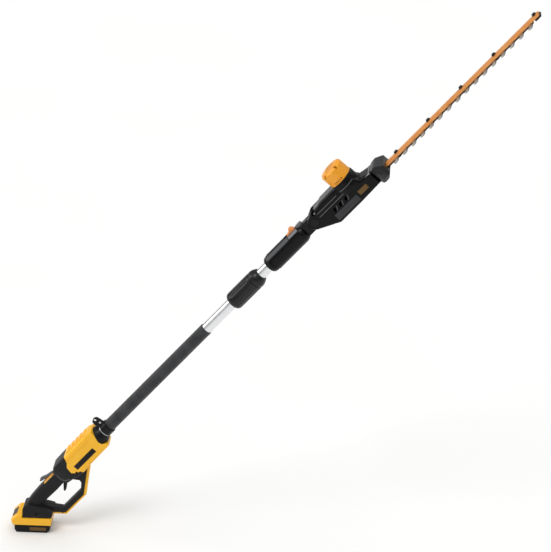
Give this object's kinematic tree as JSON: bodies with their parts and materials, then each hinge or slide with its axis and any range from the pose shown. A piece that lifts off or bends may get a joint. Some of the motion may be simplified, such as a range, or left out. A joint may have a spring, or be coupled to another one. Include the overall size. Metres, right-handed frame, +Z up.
{
  "type": "pole hedge trimmer",
  "caption": "Cordless long-reach hedge trimmer: battery handle, split pole with a twist coupling, and a tilting cutter head with reciprocating blades.",
  "frame": {"origin": "middle of the battery base, on the plane it stands on", "axes": "+X level, towards the blade end; +Y to the user's left; +Z up. The pole leans back at 48.4 degrees above +X."},
  "size_m": [1.462, 0.09, 1.6103],
  "materials": {
    "black_plastic": "fine moulded texture",
    "black_overmould": "soft overmoulded grip, matt",
    "gloss_black_plastic": "satin gloss",
    "grey_plastic": "matt",
    "yellow_plastic": "satin moulded",
    "amber_plastic": "satin moulded",
    "orange_plastic": "satin moulded",
    "grip_foam": "closed-cell foam",
    "rubber": "matt",
    "drawn_aluminium": "satin anodised",
    "cast_aluminium": "die cast",
    "steel": "machined",
    "dark_steel": "blackened",
    "bright_steel": "bright",
    "blade_steel": "ground",
    "orange_enamel": "baked enamel",
    "contact_brass": "plated",
    "cell_wrap": "shrink sleeve"
  },
  "bodies": {
    "handle": {"handle_shell_right": "black_overmould", "handle_shell_left": "black_overmould", "front_housing_right": "yellow_plastic", "front_housing_left": "yellow_plastic", "guard_trim": "yellow_plastic", "shell_screw_foot": "steel", "shell_screw_body": "steel", "trigger_pin": "steel", "trigger_spring": "bright_steel", "lever_cradle": "amber_plastic", "lever_pin": "steel", "trigger_switch": "black_plastic", "terminal_block": "contact_brass", "control_module": "cast_aluminium", "nose_collar": "black_plastic", "retaining_ring": "bright_steel", "strap_bracket": "black_plastic", "bracket_screw": "steel", "lower_pole": "drawn_aluminium", "foam_grip": "grip_foam", "coupling_body": "cast_aluminium", "connector_socket": "rubber"},
    "battery_pack": {"battery_lower_case": "black_plastic", "battery_upper_case": "yellow_plastic", "battery_cells": "cell_wrap"},
    "battery_button": {"battery_button": "grey_plastic"},
    "trigger": {"trigger": "black_plastic"},
    "lock_off_lever": {"lock_off_lever": "grey_plastic"},
    "coupling_sleeve": {"coupling_sleeve": "black_plastic"},
    "head_arm": {"head_pole": "drawn_aluminium", "connector_plug": "rubber", "sleeve_right": "gloss_black_plastic", "sleeve_left": "gloss_black_plastic", "pivot_tongue": "black_plastic"},
    "tilt_latch": {"tilt_latch": "orange_plastic", "lock_bolt": "steel"},
    "head": {"detent_plate": "steel", "pivot_bolt": "bright_steel", "head_upper_housing": "gloss_black_plastic", "head_lower_housing": "gloss_black_plastic", "housing_screw": "bright_steel", "motor_cap": "orange_plastic", "motor_stator": "steel", "motor_bearing_top": "bright_steel", "motor_bearing_bottom": "bright_steel", "gear_case": "cast_aluminium", "gear_case_cover": "cast_aluminium", "gear_axle": "bright_steel", "support_bar": "orange_enamel", "blade_bolt_1": "dark_steel", "blade_bolt_2": "dark_steel", "blade_bolt_3": "dark_steel", "blade_bolt_4": "dark_steel", "blade_bolt_5": "dark_steel", "tip_guard": "black_plastic", "guard_shield": "black_plastic"},
    "rotor": {"motor_rotor": "steel"},
    "drive_gear": {"drive_gear": "steel"},
    "upper_blade": {"upper_blade": "blade_steel"},
    "lower_blade": {"lower_blade": "blade_steel"}
  },
  "joints": [
    {"name": "battery_slide", "type": "slide", "parent": "handle", "child": "battery_pack", "axis": [-1, 0, 0], "range_m": [0, 0.075]},
    {"name": "battery_button_press", "type": "slide", "parent": "battery_pack", "child": "battery_button", "axis": [0.6668, 0, -0.7452], "range_m": [0, 0.003], "stiffness_N_per_m": 400, "springref_m": -0.002},
    {"name": "trigger_pull", "type": "hinge", "parent": "handle", "child": "trigger", "pos_m": [0.09834, 0, 0.17467], "axis": [0, 1, 0], "range_deg": [0, 15], "stiffness_Nm_per_rad": 0.2, "springref_deg": -11.46},
    {"name": "lock_off_press", "type": "hinge", "parent": "handle", "child": "lock_off_lever", "pos_m": [0.06217, 0, 0.18136], "axis": [0, -1, 0], "range_deg": [0, 8], "stiffness_Nm_per_rad": 0.2, "springref_deg": -11.46},
    {"name": "coupling_twist", "type": "hinge", "parent": "handle", "child": "coupling_sleeve", "pos_m": [0.62807, 0, 0.79154], "axis": [0.6635, 0, 0.7481], "range_deg": [0, 90]},
    {"name": "head_pull_out", "type": "slide", "parent": "handle", "child": "head_arm", "axis": [0.6635, 0, 0.7481], "range_m": [0, 0.06]},
    {"name": "latch_pull", "type": "slide", "parent": "head_arm", "child": "tilt_latch", "axis": [-0.6635, 0, -0.7481], "range_m": [0, 0.008], "stiffness_N_per_m": 400, "springref_m": -0.003},
    {"name": "head_tilt", "type": "hinge", "parent": "head_arm", "child": "head", "pos_m": [0.81709, 0, 1.00617], "axis": [0, 1, 0], "range_deg": [-90, 90]},
    {"name": "gear_spin", "type": "hinge", "parent": "head", "child": "drive_gear", "pos_m": [0.93996, 0, 1.11908], "axis": [-0.7481, 0, 0.6635], "continuous": true},
    {"name": "motor_spin", "type": "hinge", "parent": "head", "child": "rotor", "pos_m": [0.92071, 0, 1.09739], "axis": [-0.7481, 0, 0.6635], "continuous": true},
    {"name": "upper_blade_stroke", "type": "slide", "parent": "head", "child": "upper_blade", "axis": [0.6635, 0, 0.7481], "range_m": [-0.007, 0.007]},
    {"name": "lower_blade_stroke", "type": "slide", "parent": "head", "child": "lower_blade", "axis": [0.6635, 0, 0.7481], "range_m": [-0.007, 0.007]}
  ],
  "couplings": [
    {"joint": "motor_spin", "follows": "gear_spin", "ratio": -4.8},
    {"joint": "lower_blade_stroke", "follows": "upper_blade_stroke", "ratio": -1}
  ]
}
